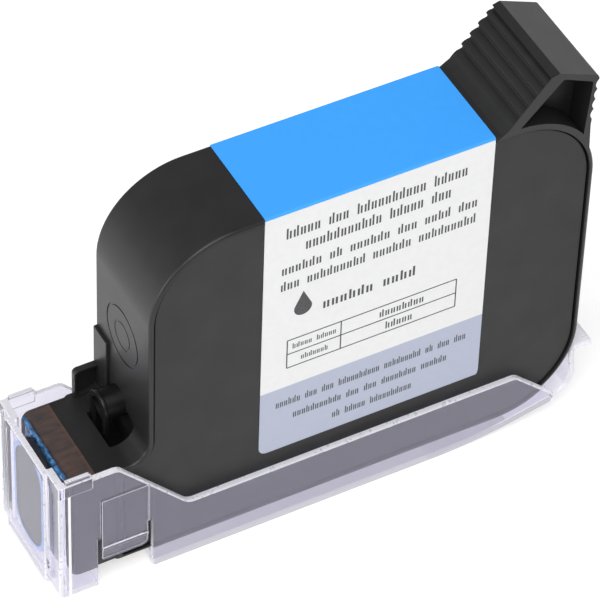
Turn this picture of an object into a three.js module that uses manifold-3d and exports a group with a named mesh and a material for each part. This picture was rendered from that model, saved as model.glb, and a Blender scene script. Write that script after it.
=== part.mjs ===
// A half-inch thermal inkjet cartridge for a hand-held date coder, standing in its clear clip-on cover.
// Millimetres, +Z up, +X along the body towards the grip, -Y on the label side. The design frame has its X
// origin on the body's front wall; the last lines move the whole object so that it stands centred on Z = 0.
import * as THREE from 'three';
import { mergeVertices } from 'three/addons/utils/BufferGeometryUtils.js';
import Module from 'manifold-3d';

const wasm = await Module();
wasm.setup();

// ---- driving dimensions ----
const bodyLength = 79.5;
const bodyTop = 65.2;
const bodyBottom = -0.5;
const bodyHalf = 9.5; // half of the 19 mm thickness
const cornerRadius = 15;
const gap = 0.3; // between pieces that touch
const hair = 0.02; // under a stuck label

const rimWidth = 0.8; // the frame's lip round each side cover
const sideCoverThick = 1.3;
const sideCoverRecess = 0.4; // how far its face lies below the lip
const sideFace = bodyHalf - sideCoverRecess;
const ringWidth = 4; // the frame's wall, seen from the side

const snoutEnd = -13.6;
const snoutTop = 20.8;
const snoutHalf = 9;
const snoutStep = -6; // where the snout narrows to snoutHalf
const snoutFillet = 3.5;
const snoutRim = 1.2; // the lip in front of each side cover

const gripFoot = 60.7; // where the grip's ribbed face leaves the body's top
const gripFront = [71.3, 74.7]; // the two upper corners, X and Z
const gripRear = [78.6, 71.5];
const gripWaist = [77.6, 61];
const gripWall = 1.1;
const gripPocketDepth = 4.8; // label side
const gripPocketStart = gripFoot + 4.2;
const gripWebThick = 1.6;
const gripSkin = 0.4; // left over the body under the grip's pockets
const frontGrooves = 6;
const rearGrooves = 5;

const labelStart = 19.9;
const labelEnd = 60.6;
const labelFoot = 11.75;
const labelThick = 0.12;
const labelFarEdge = bodyHalf - 0.2;

// the datum pit in the snout's top, and what stands in it and behind it
const pit = { front: -4.4, back: 0.5, half: 4.25, floor: 16, top: snoutTop + snoutFillet + 0.1 };
const port = { y: 1.4, z: 24.65, bore: 1.85, boss: 2.7, collar: 2.9, collarFront: -3.8, collarBack: -3.05 };
const ballRadius = port.bore - 0.3;
const tab = { front: -4.65, back: 0.5, near: 7.8, top: 26.8 };
const guide = { front: -0.6, back: 0.5, near: 4.6, far: 9.2, top: 34.6 };

// the ink's way from the bag to the printhead, Y and Z measured round its own axis
const inkway = { z: 8.5, front: -11, half: 4, halfHeight: 5.5 };
const standpipeWall = 1.1;
const die = { z: 9.9, half: 3.6, halfHeight: 6.7, thick: 0.5, depth: 0.45 };
const bead = { half: 3.2, halfHeight: 0.6, offset: 7.7 };

const flexThick = 0.18;
const flexHalf = 8.6;
const flexFlapEnd = -9;
const flexContactEnd = 14;

const coverHalf = 10.7;
const coverWall = 0.9;
const coverInner = coverHalf - coverWall;
const coverFoot = -3.3;
const coverFloorTop = bodyBottom - 0.35;
const coverBoxFront = -16.5; // the wide nozzle box
const coverBoxTop = 23.3;
const coverPanelFront = -17.5; // the narrow panel that stands out of it
const coverPanelHalf = 7;
const coverEndThick = 1.1;
const coverWallTop = 8.9; // along the body
const coverShoulderTop = 22.7; // beside the snout
const tongueHalf = 9;
const tongueEnd = 79.7;
const lipEnd = 82.9;
const lipTop = 9.1;
const lipThick = 1.2;

const fingerLeft = -8.9;
const fingerRight = -0.7;
const fingerFoot = 2.4;
const fingerRoot = 16.35;
const slotLeft = -9.75;
const slotRight = 0.15;
const slotTop = 7.8;
const ridgeFoot = 4.8; // the catch along the finger's lower part
const ridgeTop = 5.5;

const tape = {
  front: snoutEnd - 0.85, back: snoutEnd - 0.55, foldBack: snoutEnd + 0.7,
  foot: 1.6, top: 21.7,
};
const tapeThick = 0.3;
const seal = { half: 5.5, foot: 0.4, top: 22.2, radius: 5 };

const arcSteps = 8; // segments in each round stretch

// ---- materials ----
const plastic = (color, roughness, extra = {}) =>
  new THREE.MeshStandardMaterial({ color, roughness, metalness: 0, ...extra });
const metal = (color, roughness) => new THREE.MeshStandardMaterial({ color, roughness, metalness: 1 });
const blackPlastic = plastic(0x242426, 0.5);
const sidePlastic = plastic(0x2a2a2c, 0.55);
const naturalPlastic = plastic(0xd9d7cf, 0.5);
const film = plastic(0xb9bcc2, 0.25);
const steel = metal(0xb5b7ba, 0.3);
const silicon = metal(0x5b5f66, 0.25);
const gold = metal(0xd2b15c, 0.35);
const polyimide = plastic(0x5d3a2a, 0.4);
const epoxy = plastic(0x1a1713, 0.3);
const labelPaper = plastic(0xe9e9ec, 0.6);
const blueTape = plastic(0x3f8ac9, 0.35);
const clearPlastic = plastic(0xe6e6ee, 0.1, { transparent: true, opacity: 0.35 });
const sealRubber = plastic(0xcfd6de, 0.5);

// ---- geometry helpers ----
function solid(geometry) {
  const bare = geometry.clone();
  bare.deleteAttribute('normal');
  bare.deleteAttribute('uv');
  const merged = mergeVertices(bare, 1e-4);
  return new wasm.Manifold(new wasm.Mesh({
    numProp: 3,
    vertProperties: new Float32Array(merged.attributes.position.array),
    triVerts: new Uint32Array(merged.index.array),
  }));
}

function surface(manifold) {
  const mesh = manifold.getMesh();
  const geometry = new THREE.BufferGeometry();
  geometry.setAttribute('position', new THREE.BufferAttribute(mesh.vertProperties, 3));
  geometry.setIndex(new THREE.BufferAttribute(mesh.triVerts, 1));
  geometry.computeVertexNormals();
  return geometry;
}

const join = (first, ...others) => others.reduce((sum, next) => sum.add(next), first);
const cut = (first, ...others) => others.reduce((rest, next) => rest.subtract(next), first);

// A closed outline; each corner is [across, up, fillet radius].
function outline(corners) {
  const shape = new THREE.Shape();
  corners.forEach(([across, up, radius = 0], index) => {
    const corner = new THREE.Vector2(across, up);
    const towards = (step) => {
      const [a, b] = corners[(index + step + corners.length) % corners.length];
      return new THREE.Vector2(a, b).sub(corner).normalize();
    };
    const back = towards(-1);
    const ahead = towards(1);
    if (radius === 0) {
      if (index === 0) shape.moveTo(across, up);
      else shape.lineTo(across, up);
      return;
    }
    const half = Math.acos(THREE.MathUtils.clamp(back.dot(ahead), -1, 1)) / 2;
    const reach = radius / Math.tan(half);
    const centre = back.clone().add(ahead).normalize().multiplyScalar(radius / Math.sin(half)).add(corner);
    const enter = back.clone().multiplyScalar(reach).add(corner).sub(centre);
    const leave = ahead.clone().multiplyScalar(reach).add(corner).sub(centre);
    const clockwise = back.cross(ahead) > 0;
    if (index > 0) shape.lineTo(centre.x + enter.x, centre.y + enter.y);
    shape.absarc(centre.x, centre.y, radius, enter.angle(), leave.angle(), clockwise);
  });
  return shape;
}

// An X-Z outline made solid from one Y to another.
function plate(corners, yLow, yHigh) {
  const geometry = new THREE.ExtrudeGeometry(outline(corners), {
    depth: yHigh - yLow, bevelEnabled: false, curveSegments: arcSteps, steps: 1,
  });
  return solid(geometry.rotateX(Math.PI / 2).translate(0, yHigh, 0));
}

// A Y-Z outline made solid from one X to another.
function slice(corners, xLow, xHigh) {
  const geometry = new THREE.ExtrudeGeometry(outline(corners), {
    depth: xHigh - xLow, bevelEnabled: false, curveSegments: arcSteps, steps: 1,
  });
  return solid(geometry.rotateX(Math.PI / 2).rotateZ(Math.PI / 2).translate(xLow, 0, 0));
}

function block(xLow, xHigh, yLow, yHigh, zLow, zHigh) {
  const geometry = new THREE.BoxGeometry(xHigh - xLow, yHigh - yLow, zHigh - zLow);
  return solid(geometry.translate((xLow + xHigh) / 2, (yLow + yHigh) / 2, (zLow + zHigh) / 2));
}

// The body's rounded rectangle, drawn in by an inset.
function bodyCorners(inset) {
  const radius = cornerRadius - inset;
  return [
    [inset, bodyBottom + inset, radius], [bodyLength - inset, bodyBottom + inset, radius],
    [bodyLength - inset, bodyTop - inset, radius], [inset, bodyTop - inset, radius],
  ];
}

// The side view of the body and its snout, drawn in by an inset, with the snout ending at a given X.
function sideCorners(inset, front, frontRadius) {
  const radius = cornerRadius - inset;
  return [
    [front, bodyBottom + inset, frontRadius], [bodyLength - inset, bodyBottom + inset, radius],
    [bodyLength - inset, bodyTop - inset, radius], [inset, bodyTop - inset, radius],
    [inset, snoutTop - inset, snoutFillet + inset], [front, snoutTop - inset, frontRadius],
  ];
}

const model = new THREE.Group();
function piece(name, manifold, material) {
  const mesh = new THREE.Mesh(surface(manifold), material);
  mesh.name = name;
  model.add(mesh);
}
const sides = [['near', -1], ['far', 1]]; // near is the label side, -Y
const across = (side, inner, outer) => (side < 0 ? [-outer, -inner] : [inner, outer]);

// ---- outer frame: a ring with the grip and the snout moulded on ----
const gripCorners = [
  [gripFoot, bodyTop - 0.6], [...gripFront, 0.8], [...gripRear, 0.9], [...gripWaist, 4],
  [bodyLength - 0.3, bodyTop - 12], [gripFoot, bodyTop - 12],
];

function gripPocket(yLow, yHigh) {
  const foot = bodyTop - 9; // below the body's top everywhere over the round corner
  const inside = plate([
    [gripPocketStart, bodyTop + gripSkin], [gripFront[0] + 0.9, gripFront[1] - 1.6, 0.6],
    [gripRear[0] - gripWall, gripRear[1] - 1, 0.6], [gripWaist[0] - gripWall, gripWaist[1] - 1],
    [gripWaist[0] - gripWall, foot], [gripPocketStart, foot],
  ], yLow, yHigh);
  return cut(inside, plate(bodyCorners(-gripSkin), -bodyHalf - 1, bodyHalf + 1));
}

// Grooves across a flat face of the grip, from one X-Z point to another, all cut to the same depth.
function grooves([xFrom, zFrom], [xTo, zTo], count, depth, yLow, yHigh) {
  const slope = Math.atan2(zTo - zFrom, xTo - xFrom);
  return Array.from({ length: count }, (_, index) => {
    const share = (index + 0.5) / count;
    const groove = new THREE.BoxGeometry(depth, yHigh - yLow, depth).rotateY(Math.PI / 4 - slope);
    groove.translate(xFrom + share * (xTo - xFrom), (yLow + yHigh) / 2, zFrom + share * (zTo - zFrom));
    return solid(groove);
  });
}

function gripRibs() {
  return [
    ...grooves([gripFoot + 1.2, bodyTop + 0.9], gripFront, frontGrooves, 0.9, -bodyHalf + 1, bodyHalf + 1),
    ...grooves(gripRear, gripWaist, rearGrooves, 0.6, -bodyHalf - 1, bodyHalf + 1),
  ];
}

// A rod along X round the fill port's axis.
function portRod(radius, xLow, xHigh) {
  const rod = new THREE.CylinderGeometry(radius, radius, xHigh - xLow, 3 * arcSteps);
  return solid(rod.rotateZ(Math.PI / 2).translate((xLow + xHigh) / 2, port.y, port.z));
}

// The fill port's boss, with a collar whose two legs stand in the pit.
function portBoss() {
  const collar = (radius) => slice([
    [port.y - radius, pit.floor - 0.5], [port.y + radius, pit.floor - 0.5],
    [port.y + radius, port.z + radius, radius], [port.y - radius, port.z + radius, radius],
  ], port.collarFront, port.collarBack);
  const ring = cut(collar(port.collar), collar(port.bore));
  return join(ring, portRod(port.boss, port.collarBack - 0.3, pit.back + 1));
}

// The ink's way through the snout, drawn in by an inset.
function inkwayBlock(inset, xLow, xHigh) {
  const half = inkway.half - inset;
  const halfHeight = inkway.halfHeight - inset;
  return block(xLow, xHigh, -half, half, inkway.z - halfHeight, inkway.z + halfHeight);
}

function outerFrame() {
  const shell = join(
    plate(sideCorners(0, snoutEnd, 1.4), -bodyHalf, bodyHalf),
    plate(gripCorners, -bodyHalf, bodyHalf),
  );
  const snoutFlanks = sides.map(([, side]) =>
    block(snoutEnd - 1, snoutStep, ...across(side, snoutHalf, bodyHalf + 1), bodyBottom - 1, snoutTop + 1));
  const rebateCorners = sideCorners(rimWidth, snoutStep + snoutRim, 1);
  const rebates = sides.map(([, side]) =>
    plate(rebateCorners, ...across(side, sideFace - sideCoverThick - gap, bodyHalf + 1)));
  const labelSeat = block(labelStart - gap, gripFoot, -bodyHalf - 1, -sideFace,
    bodyTop - 2 * rimWidth, bodyTop + 1);
  const inkSpace = plate(bodyCorners(ringWidth), -bodyHalf - 1, bodyHalf + 1);
  const inkChannel = inkwayBlock(0, inkway.front, ringWidth + 2);
  const dieSlot = block(snoutEnd - 1, inkway.front + 1, -die.half / 2, die.half / 2, 4, 13.5);
  const dieSeat = block(snoutEnd - 1, snoutEnd + 1, -die.half - 0.8, die.half + 0.8,
    die.z - die.halfHeight - 0.6, die.z + die.halfHeight + 0.6);
  const pitSpace = block(pit.front, pit.back, -pit.half, pit.half, pit.floor, pit.top);
  const hollowed = cut(
    shell, ...snoutFlanks, inkSpace, inkChannel, dieSlot, dieSeat, pitSpace, labelSeat,
    gripPocket(-bodyHalf - 1, -bodyHalf + gripPocketDepth),
    gripPocket(-bodyHalf + gripPocketDepth + gripWebThick, bodyHalf + 1),
    ...gripRibs(),
  );
  const tabPlate = plate([
    [tab.front, snoutTop - 1], [tab.back, snoutTop - 1], [tab.back, tab.top], [tab.front, tab.top, 0.8],
  ], tab.near, snoutHalf);
  const guideRib = block(guide.front, guide.back, guide.near, guide.far, snoutTop - 1, guide.top);
  const fitted = join(hollowed, tabPlate, guideRib, portBoss());
  return cut(fitted, ...rebates, portRod(port.bore, port.collarFront - 1, ringWidth + 1));
}

piece('outer_frame', outerFrame(), blackPlastic);

// ---- side covers, sunk in the frame's rebates ----
for (const [name, side] of sides) {
  const panelCorners = sideCorners(rimWidth + gap, snoutStep + snoutRim + gap, 0.8);
  const panel = plate(panelCorners, ...across(side, sideFace - sideCoverThick, sideFace));
  piece(`${name}_side_cover`, panel, sidePlastic);
}

// ---- the spring bag: inner frame, films, pressure plates and bow spring ----
const innerHalf = 6.3;
const filmInner = 6.6;
const filmThick = 0.2;
const plateThick = 0.4;
const plateInner = 5.8;
const innerWidth = 2.6;
piece('inner_frame', cut(
  plate(bodyCorners(ringWidth + 0.4), -innerHalf, innerHalf),
  plate(bodyCorners(ringWidth + 0.4 + innerWidth), -innerHalf - 1, innerHalf + 1),
  inkwayBlock(-0.2, ringWidth - 1, ringWidth + 4),
), naturalPlastic);

for (const [name, side] of sides) {
  const sheet = plate(bodyCorners(ringWidth + 0.6), ...across(side, filmInner, filmInner + filmThick));
  piece(`${name}_ink_film`, sheet, film);
  const presser = plate(bodyCorners(ringWidth + 6), ...across(side, plateInner, plateInner + plateThick));
  piece(`${name}_pressure_plate`, presser, steel);
}

const bow = { reach: 19, half: plateInner - gap, height: 9, endThick: 0.5, faceThick: 0.4 };
function bowSpring() {
  const oval = (reach, half, height) => {
    const drum = new THREE.CylinderGeometry(1, 1, height, 4 * arcSteps).rotateX(Math.PI / 2);
    return solid(drum.scale(reach, half, 1).translate(bodyLength / 2, 0, (bodyTop + bodyBottom) / 2));
  };
  return cut(
    oval(bow.reach, bow.half, bow.height),
    oval(bow.reach - bow.endThick, bow.half - bow.faceThick, bow.height + 1),
  );
}
piece('bow_spring', bowSpring(), steel);

// ---- ink path and printhead ----
const standpipeFront = -9.6;
const standpipeBack = ringWidth - 0.6;
piece('standpipe', cut(
  inkwayBlock(gap, standpipeFront, standpipeBack),
  inkwayBlock(gap + standpipeWall, standpipeFront - 1, standpipeBack + 1),
), naturalPlastic);
piece('filter_screen', inkwayBlock(0.4, ringWidth - 0.3, ringWidth + 0.1), steel);

// A thin plate behind the snout's end, as large as the die or a little more.
function endPlate(grow, depth, thick) {
  return block(snoutEnd + depth, snoutEnd + depth + thick, -die.half - grow, die.half + grow,
    die.z - die.halfHeight - grow, die.z + die.halfHeight + grow);
}
piece('printhead_die', endPlate(0, die.depth, die.thick), silicon);
piece('orifice_plate', endPlate(0.2, 0.1, 0.06), gold);

const flexClear = 0.05;
function flexBand(grow) {
  return plate([
    [snoutEnd - grow, bodyBottom - grow, 1.4 + grow], [flexContactEnd, bodyBottom - grow],
    [flexContactEnd, bodyBottom + 1.5], [flexFlapEnd, bodyBottom + 1.5],
    [flexFlapEnd, snoutTop + grow], [snoutEnd - grow, snoutTop + grow, 1.4 + grow],
  ], -flexHalf, flexHalf);
}
piece('flex_circuit', cut(
  flexBand(flexClear + flexThick),
  plate([
    [snoutEnd - flexClear, bodyBottom - flexClear, 1.4 + flexClear],
    [flexContactEnd + 1, bodyBottom - flexClear], [flexContactEnd + 1, bodyBottom + 3],
    [flexFlapEnd + 1, bodyBottom + 3], [flexFlapEnd + 1, snoutTop + flexClear],
    [snoutEnd - flexClear, snoutTop + flexClear, 1.4 + flexClear],
  ], -flexHalf - 1, flexHalf + 1),
  endPlate(-0.2, -1, 3),
), polyimide);

for (const [name, side] of [['upper', 1], ['lower', -1]]) {
  const z = die.z + side * bead.offset;
  const strip = slice([
    [-bead.half, z - bead.halfHeight, 0.5], [bead.half, z - bead.halfHeight, 0.5],
    [bead.half, z + bead.halfHeight, 0.5], [-bead.half, z + bead.halfHeight, 0.5],
  ], snoutEnd - 0.42, snoutEnd - 0.25);
  piece(`${name}_encapsulant`, strip, epoxy);
}

const ball = new THREE.SphereGeometry(ballRadius, 16, 10).translate(0, port.y, port.z);
piece('fill_port_ball', solid(ball), epoxy);

// ---- label: over the top and down the near side ----
const labelFace = sideFace + hair + labelThick;
const labelTop = bodyTop + hair + labelThick;
piece('wrap_label', join(
  block(labelStart, labelEnd, -labelFace, labelFarEdge, bodyTop + hair, labelTop),
  plate([
    [labelStart, labelFoot, 1.5], [labelEnd, labelFoot, 1.5], [labelEnd, labelTop], [labelStart, labelTop],
  ], -labelFace, -sideFace - hair),
), labelPaper);

// ---- nozzle tape: stuck over the nozzles, its free end folded back over the snout ----
piece('nozzle_tape', join(
  block(tape.front, tape.back, -6.2, 6.2, tape.foot, tape.top),
  block(tape.front, tape.foldBack, -7.6, 7.6, tape.top - tapeThick, tape.top),
), blueTape);

// ---- protective cover ----
const wallCorners = [
  [coverBoxFront, coverFoot, 1], [60, coverFoot, 80], [76.3, 0.26, 1], [67.4, coverWallTop, 2],
  [6.6, coverWallTop, 2.5], [-5.9, coverShoulderTop, 2], [-10.7, coverShoulderTop],
  [-10.7, coverBoxTop], [coverBoxFront, coverBoxTop, 1],
];
const tongueCorners = [
  [40, coverFoot], [60, coverFoot, 80], [tongueEnd, 0.99, 4.5], [tongueEnd, lipTop - lipThick, 0.8],
  [lipEnd, lipTop - lipThick, 0.4], [lipEnd, lipTop, 0.4], [74, lipTop], [60, 3], [40, 3],
];

function protectiveCover() {
  const outside = join(
    plate(wallCorners, -coverHalf, coverHalf),
    plate(tongueCorners, -tongueHalf, tongueHalf),
    plate([
      [coverPanelFront, -2.4, 0.8], [-15, -2.4], [-15, coverBoxTop], [coverPanelFront, coverBoxTop, 0.6],
    ], -coverPanelHalf, coverPanelHalf),
    ...sides.map(([, side]) => block(-15.2, -11, ...across(side, coverInner + 0.1, coverHalf - 0.1), 23, 24)),
  );
  const clearance = gap + 0.05;
  const above = 40; // anywhere over the cover's top
  const bodySpace = plate([
    [-2, coverFloorTop], [bodyLength + clearance, coverFloorTop, cornerRadius + clearance],
    [bodyLength + clearance, above], [-2, above],
  ], -coverInner, coverInner);
  const snoutSpace = block(coverBoxFront + coverEndThick, 1, -coverInner, coverInner, -1.9, above);
  const insideHalf = coverPanelHalf - 1;
  const panelSpace = block(coverPanelFront + coverEndThick, -15, -insideHalf, insideHalf, -1.2, above);
  const contactSpace = block(-1, flexContactEnd + 2, -9.2, 9.2, -1.4, above);
  const floorWindow = block(slotLeft, slotRight, -coverHalf - 1, coverHalf + 1,
    coverFoot - 1, fingerFoot - 0.4);
  const wallWindows = sides.map(([, side]) => join(
    block(slotLeft, slotRight, ...across(side, coverInner - 1, coverHalf + 1), fingerFoot - 1, slotTop),
    block(fingerLeft - 0.25, fingerRight + 0.25, ...across(side, coverInner - 1, coverHalf + 1),
      5, fingerRoot + 0.25),
  ));
  return cut(outside, bodySpace, snoutSpace, panelSpace, contactSpace, floorWindow, ...wallWindows);
}
piece('protective_cover', protectiveCover(), clearPlastic);

for (const [name, side] of sides) {
  const finger = join(
    block(fingerLeft, fingerRight, ...across(side, coverInner + 0.05, coverHalf - 0.1),
      fingerFoot, fingerRoot),
    block(fingerLeft, fingerRight, ...across(side, coverHalf - 0.2, coverHalf + 0.15),
      ridgeFoot, ridgeTop),
  );
  piece(`${name}_snap_finger`, finger, clearPlastic);
}

piece('cap_seal', slice([
  [-seal.half, seal.foot, seal.radius], [seal.half, seal.foot, seal.radius],
  [seal.half, seal.top, seal.radius], [-seal.half, seal.top, seal.radius],
], coverPanelFront + coverEndThick + gap, tape.front - gap), sealRubber);

// ---- stand the object on Z = 0, centred on the origin ----
model.position.set(-(coverPanelFront + lipEnd) / 2, 0, -coverFoot);
const standing = new THREE.Group();
standing.add(model);
standing.updateMatrixWorld(true);

export default standing;
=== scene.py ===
"""The looks of a half-inch inkjet cartridge in its clear clip-on cover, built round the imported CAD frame.

The fine pieces are drawn in millimetres in the body's own frame: X runs from the body's front wall towards
the grip, Y from the label side (-Y) to the far side, and Z is up. settle() moves each one to the row frame.
"""
import math

import bmesh
import bpy
from mathutils import Matrix, Vector


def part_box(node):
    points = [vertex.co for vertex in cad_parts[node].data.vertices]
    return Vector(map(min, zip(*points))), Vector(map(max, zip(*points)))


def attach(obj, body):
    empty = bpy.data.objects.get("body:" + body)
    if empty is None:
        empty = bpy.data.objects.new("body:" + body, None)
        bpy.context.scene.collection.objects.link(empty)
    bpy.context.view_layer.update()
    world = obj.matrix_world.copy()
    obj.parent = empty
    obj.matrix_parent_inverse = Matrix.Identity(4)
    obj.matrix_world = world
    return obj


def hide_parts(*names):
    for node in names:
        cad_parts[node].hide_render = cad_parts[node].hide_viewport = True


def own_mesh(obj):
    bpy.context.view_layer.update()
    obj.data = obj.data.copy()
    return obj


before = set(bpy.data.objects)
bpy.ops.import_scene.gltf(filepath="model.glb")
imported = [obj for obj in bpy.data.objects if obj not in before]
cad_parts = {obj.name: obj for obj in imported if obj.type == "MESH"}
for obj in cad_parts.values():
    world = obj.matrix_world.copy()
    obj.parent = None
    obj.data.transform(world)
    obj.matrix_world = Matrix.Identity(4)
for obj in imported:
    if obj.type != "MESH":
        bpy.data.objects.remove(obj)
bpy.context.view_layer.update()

MM = 0.001
REACH = 1  # how far a cutter reaches past the face that it cuts
CORNER_STEPS = 24  # steps round each of the body's large corners
SIDES = (("near", -1), ("far", 1))

# ---- driving dimensions in millimetres ----
# the body, with a ring between its two side covers
BODY_LENGTH = 79.5
BODY_TOP = 65.2
BODY_FOOT = -0.5
BODY_HALF = 9.5
CORNER = 15
GAP = 0.3
RIM = 0.8
RING_WIDTH = 4
SIDE_FACE = 9.1
SIDE_THICK = 1.3
REBATE_FLOOR = SIDE_FACE - SIDE_THICK - GAP

# the snout at the foot of its front
SNOUT_END = -13.6
SNOUT_TOP = 20.8
SNOUT_HALF = 9
SNOUT_STEP = -6
SNOUT_RIM = 1.2
SNOUT_FILLET = 3.5

# the grip's side view, as (x, z) corners from the foot of its front round to its waist
GRIP_FOOT = Vector((60.7, 64.6))
GRIP_HEEL = Vector((62.7, 65.85))
GRIP_BROW = Vector((70.0, 74.35))
GRIP_FRONT = Vector((71.3, 74.75))
GRIP_REAR = Vector((78.85, 71.4))
GRIP_WAIST = Vector((78.0, 61))
GRIP_BASE = BODY_TOP - 12
GRIP_HALF = 9.48

# the label's outer face, from the far edge of the body's top down to its foot on the near side
LABEL_START = 19.9
LABEL_END = 60.6
LABEL_FOOT = 11.75
LABEL_FACE = 9.24
LABEL_TOP = 65.34
LABEL_FAR = 9.3
LABEL_THICK = 0.12

# on and behind the snout's top: the pit, the tab, the guide rib and the fill port
PIT = {"front": -4.4, "back": 0.5, "half": 4.25, "floor": 16, "top": 24.4}
TAB = {"front": -4.65, "back": 0.5, "near": 7.8, "top": 26.8}
GUIDE = {"front": -0.6, "back": 0.5, "near": 4.6, "far": 9.2, "top": 34.6}
PORT = {"y": 1.4, "z": 24.65, "bore": 1.85, "boss": 2.7, "collar": 2.9}
COLLAR_FRONT = -3.8
COLLAR_BACK = -3.05

# the clear cover, whose foot starts to curve up at RISE_START
COVER_HALF = 10.7
COVER_INNER = 9.8
COVER_FOOT = -3.3
COVER_FRONT = -16.5
COVER_TOP = 23.3
COVER_SHOULDER = 22.7
COVER_WALL_TOP = 8.9
RISE_START = 60
RISE_RADIUS = 80
PANEL_FRONT = -17.5
PANEL_BACK = -15
PANEL_HALF = 7
END_THICK = 1.1
FLOOR_THICK = 0.9
COVER_FLOOR = COVER_FOOT + FLOOR_THICK
REST_LEVEL = BODY_FOOT - 0.35
LIP_TOP = 9.1
LIP_THICK = 1.2
BAND_PROUD = 0.13
BAND_ROOT = 0.2
ABOVE = 40  # anywhere over the cover's top

# the window on each side of the cover, and the clip finger in it
WINDOW = {"front": -9.75, "back": 0.15, "top": 7.8}
FINGER = {"front": -8.9, "back": -0.7, "foot": 2.4, "root": 16.35, "catch_foot": 4.8, "catch_top": 5.5}

# the body's frame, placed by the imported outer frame's lowest corner
frame_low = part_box("outer_frame")[0]
ORIGIN = Vector((frame_low.x - SNOUT_END * MM, 0, frame_low.z - BODY_FOOT * MM))


# ---- mesh helpers ----
def solid(points, faces, name="part"):
    """A closed mesh object with its faces pointing out."""
    mesh = bpy.data.meshes.new(name)
    mesh.from_pydata([tuple(point) for point in points], [], faces)
    shape = bmesh.new()
    shape.from_mesh(mesh)
    bmesh.ops.recalc_face_normals(shape, faces=shape.faces)
    shape.to_mesh(mesh)
    shape.free()
    piece = bpy.data.objects.new(name, mesh)
    bpy.context.scene.collection.objects.link(piece)
    return piece


def rounded(corners, steps=None):
    """The points of a closed outline; each corner is (across, up) or (across, up, fillet radius)."""
    points = []
    for index, (across, up, *rest) in enumerate(corners):
        here = Vector((across, up))
        if not rest:
            points.append(here)
            continue
        radius = rest[0]
        back = (Vector(corners[index - 1][:2]) - here).normalized()
        ahead = (Vector(corners[(index + 1) % len(corners)][:2]) - here).normalized()
        half = back.angle(ahead) / 2
        centre = here + (back + ahead).normalized() * (radius / math.sin(half))
        start = here + back * (radius / math.tan(half)) - centre
        turn = math.copysign(math.pi - 2 * half, back.y * ahead.x - back.x * ahead.y)
        count = steps or max(4, round(7 * math.sqrt(radius)))
        points += [centre + Matrix.Rotation(turn * step / count, 2) @ start for step in range(count + 1)]
    return points


def prism(points, low, high, axis="Y"):
    """An outline made solid along an axis: X-Z points along Y, Y-Z points along X, or X-Y points along Z."""
    put = {
        "X": lambda a, b, t: (t, a, b),
        "Y": lambda a, b, t: (a, t, b),
        "Z": lambda a, b, t: (a, b, t),
    }[axis]
    return loft([[put(*point, level) for point in points] for level in (low, high)])


def loft(loops):
    """A solid skinned over closed loops that all have the same number of points."""
    count = len(loops[0])
    points = [point for loop in loops for point in loop]
    faces = [tuple(range(count)), tuple(range(len(points) - count, len(points)))]
    for first in range(0, len(points) - count, count):
        for index in range(count):
            after = (index + 1) % count
            faces.append((first + index, first + after, first + count + after, first + count + index))
    return solid(points, faces)


def block(x_low, x_high, y_low, y_high, z_low, z_high):
    """A box between its six sides."""
    return prism([(x_low, z_low), (x_high, z_low), (x_high, z_high), (x_low, z_high)], y_low, y_high)


def circle(centre, radius, count=48):
    """The points of a circle."""
    turn = 2 * math.pi / count
    return [
        Vector((centre[0] + radius * math.cos(turn * step), centre[1] + radius * math.sin(turn * step)))
        for step in range(count)
    ]


def across(side, inner, outer):
    """The low and high Y of a layer that lies between two distances from the middle, on one side."""
    return sorted((side * inner, side * outer))


def sheet(rows):
    """An open sheet through a grid of points, given row by row."""
    columns = len(rows[0])
    faces = [
        (first, first + 1, first + columns + 1, first + columns)
        for row in range(len(rows) - 1)
        for first in range(row * columns, (row + 1) * columns - 1)
    ]
    mesh = bpy.data.meshes.new("sheet")
    mesh.from_pydata([point for row in rows for point in row], [], faces)
    piece = bpy.data.objects.new("sheet", mesh)
    bpy.context.scene.collection.objects.link(piece)
    return piece


def bake(piece):
    """Applies the piece's modifiers."""
    bpy.context.view_layer.update()
    seen = piece.evaluated_get(bpy.context.evaluated_depsgraph_get())
    mesh = bpy.data.meshes.new_from_object(seen)
    piece.modifiers.clear()
    piece.data = mesh
    return piece


def soften(piece, width, segments=3, angle=35, edge_slot=-1):
    """Rounds the sharp edges; the rounds take the material in edge_slot, if one is given."""
    bevel = piece.modifiers.new("soften", "BEVEL")
    bevel.material = edge_slot
    bevel.width = width
    bevel.segments = segments
    bevel.limit_method = "ANGLE"
    bevel.angle_limit = math.radians(angle)
    bevel.use_clamp_overlap = False
    return bake(piece)


def thicken(piece, thick, offset=-1):
    """Gives a sheet its thickness, behind it for an offset of -1 and in front of it for 1."""
    solidify = piece.modifiers.new("thicken", "SOLIDIFY")
    solidify.thickness = thick
    solidify.offset = offset
    return bake(piece)


def combine(base, operation, tools):
    """Joins the tools to the base, or cuts them from it, one after another."""
    for tool in tools:
        modifier = base.modifiers.new("combine", "BOOLEAN")
        modifier.operation = operation
        modifier.solver = "EXACT"
        modifier.object = tool
    bake(base)
    for tool in tools:
        bpy.data.objects.remove(tool)
    return base


def join(base, *tools):
    return combine(base, "UNION", tools)


def cut(base, *tools):
    return combine(base, "DIFFERENCE", tools)


def gather(pieces):
    """Several separate solids as one piece, with no boolean."""
    shape = bmesh.new()
    for piece in pieces:
        shape.from_mesh(piece.data)
        bpy.data.objects.remove(piece)
    mesh = bpy.data.meshes.new("part")
    shape.to_mesh(mesh)
    shape.free()
    group = bpy.data.objects.new("part", mesh)
    bpy.context.scene.collection.objects.link(group)
    return group


def give(piece, materials):
    """Fills the piece's material slots."""
    for material in materials:
        piece.data.materials.append(material)
    return piece


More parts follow.
